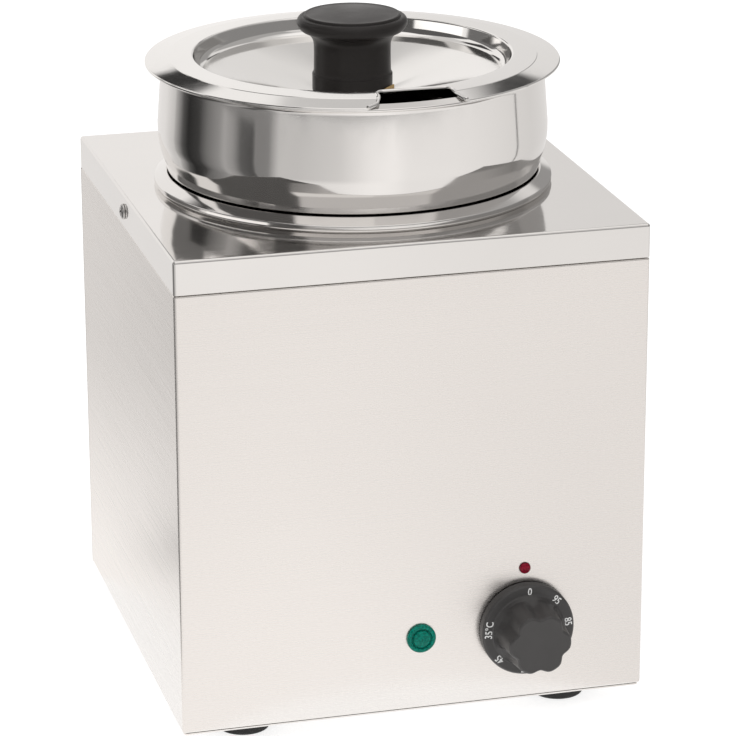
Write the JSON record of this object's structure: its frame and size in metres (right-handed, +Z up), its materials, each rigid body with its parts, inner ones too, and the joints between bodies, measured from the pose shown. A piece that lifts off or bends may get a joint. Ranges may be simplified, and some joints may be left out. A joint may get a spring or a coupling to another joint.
{
  "type": "soup kettle",
  "caption": "Square steel water-bath soup kettle with a lift-out stepped pot, a notched lid with a black knob, signal lamps and a thermostat dial on the front.",
  "frame": {"origin": "on the floor, at the centre of the base, under the pot's axis", "axes": "+Z up, the front with the dial faces -Y, +X is to the right seen from the front"},
  "size_m": [0.2696, 0.325, 0.3789],
  "materials": {
    "brushed_steel": "satin brushed",
    "polished_steel": "polished",
    "pot_steel": "polished",
    "lid_steel": "polished",
    "screw_steel": "satin",
    "knob_plastic": "satin moulded",
    "dial_plastic": "satin moulded",
    "brass": "turned",
    "zinc": "zinc plated",
    "aluminium": "as rolled",
    "element_sheath": "oxidised",
    "capillary": "drawn",
    "black_plastic": "moulded",
    "grey_plastic": "moulded",
    "white_plastic": "moulded",
    "gland_plastic": "moulded",
    "rubber": "matt",
    "green_lens": "clear moulded",
    "red_lens": "clear moulded",
    "wire_brown": "sleeved",
    "wire_black": "sleeved",
    "wire_blue": "sleeved",
    "wire_white": "sleeved"
  },
  "bodies": {
    "base": {"casing": "brushed_steel", "rear_panel": "brushed_steel", "base_plate": "brushed_steel", "top_cover": "polished_steel", "well": "polished_steel", "heater_plate": "aluminium", "heating_element": "element_sheath", "heater_bridge": "zinc", "heater_stud": "zinc", "heater_nut": "zinc", "safety_cutout": "black_plastic", "thermostat_body": "grey_plastic", "thermostat_bulb": "capillary", "bulb_clip": "zinc", "terminal_block": "white_plastic", "earth_screw": "brass", "wire_live": "wire_brown", "wire_switched": "wire_black", "wire_neutral": "wire_blue", "wire_signal": "wire_white", "green_lamp_lens": "green_lens", "green_lamp_body": "black_plastic", "green_lamp_clip": "zinc", "red_lamp_lens": "red_lens", "red_lamp_body": "black_plastic", "red_lamp_clip": "zinc", "gland_body": "gland_plastic", "gland_nut": "gland_plastic", "gland_seal": "rubber", "gland_locknut": "gland_plastic", "foot_front_left": "rubber", "foot_screw_front_left": "zinc", "base_screw_front_left": "zinc", "foot_front_right": "rubber", "foot_screw_front_right": "zinc", "base_screw_front_right": "zinc", "foot_rear_left": "rubber", "foot_screw_rear_left": "zinc", "base_screw_rear_left": "zinc", "foot_rear_right": "rubber", "foot_screw_rear_right": "zinc", "base_screw_rear_right": "zinc", "rear_screw_low_left": "zinc", "rear_screw_low_right": "zinc", "rear_screw_high_left": "zinc", "rear_screw_high_right": "zinc", "cover_screw_left": "screw_steel", "cover_screw_right": "screw_steel"},
    "dial": {"dial_knob": "dial_plastic", "dial_clip": "zinc", "thermostat_shaft": "zinc"},
    "pot": {"pot": "pot_steel"},
    "lid": {"lid_plate": "lid_steel", "lid_knob": "knob_plastic", "knob_washer": "brass", "knob_screw": "zinc"}
  },
  "joints": [
    {"name": "pot_lift", "type": "slide", "parent": "base", "child": "pot", "axis": [0, 0, 1], "range_m": [0, 0.2]},
    {"name": "lid_lift", "type": "slide", "parent": "pot", "child": "lid", "axis": [0, 0, 1], "range_m": [0, 0.12]},
    {"name": "dial_turn", "type": "hinge", "parent": "base", "child": "dial", "pos_m": [0.0635, -0.1325, 0.0542], "axis": [0, 1, 0], "range_deg": [0, 315]}
  ]
}
